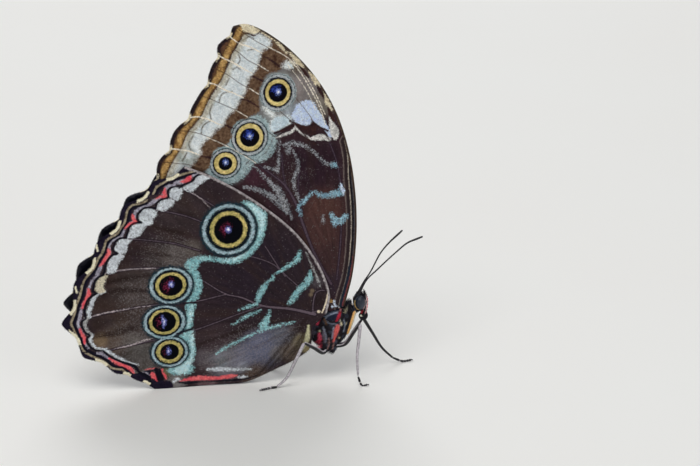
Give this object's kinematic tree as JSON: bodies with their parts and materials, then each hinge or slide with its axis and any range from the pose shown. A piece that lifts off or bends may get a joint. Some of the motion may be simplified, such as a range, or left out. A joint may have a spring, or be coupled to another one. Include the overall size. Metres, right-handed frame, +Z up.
{
  "type": "blue morpho butterfly model",
  "caption": "Life-size still model of a blue morpho butterfly standing with its wings closed over its back.",
  "frame": {"origin": "bottom centre of the bounding box, on the surface that the feet stand on", "axes": "+X towards the head, +Y to the butterfly's left, +Z up"},
  "size_m": [0.0725, 0.0135, 0.0751],
  "materials": {
    "wings": "fine scales, brown with ringed eye spots, pale bands and a red and white margin",
    "body": "short black hair with red and cream marks",
    "eyes": "smooth and slightly glossy, finely faceted",
    "limbs": "dark, finely scaled, with pale rings on the feet"
  },
  "bodies": {
    "root": {"head": "body", "thorax": "body", "abdomen": "body", "proboscis": "limbs", "forewing_right": "wings", "forewing_left": "wings", "hindwing_right": "wings", "hindwing_left": "wings", "eye_right": "eyes", "eye_left": "eyes", "palp_right": "body", "palp_left": "body", "foreleg_right": "limbs", "foreleg_left": "limbs", "antenna_right": "limbs", "antenna_left": "limbs", "midleg_right": "limbs", "midleg_left": "limbs", "hindleg_right": "limbs", "hindleg_left": "limbs"}
  },
  "joints": []
}
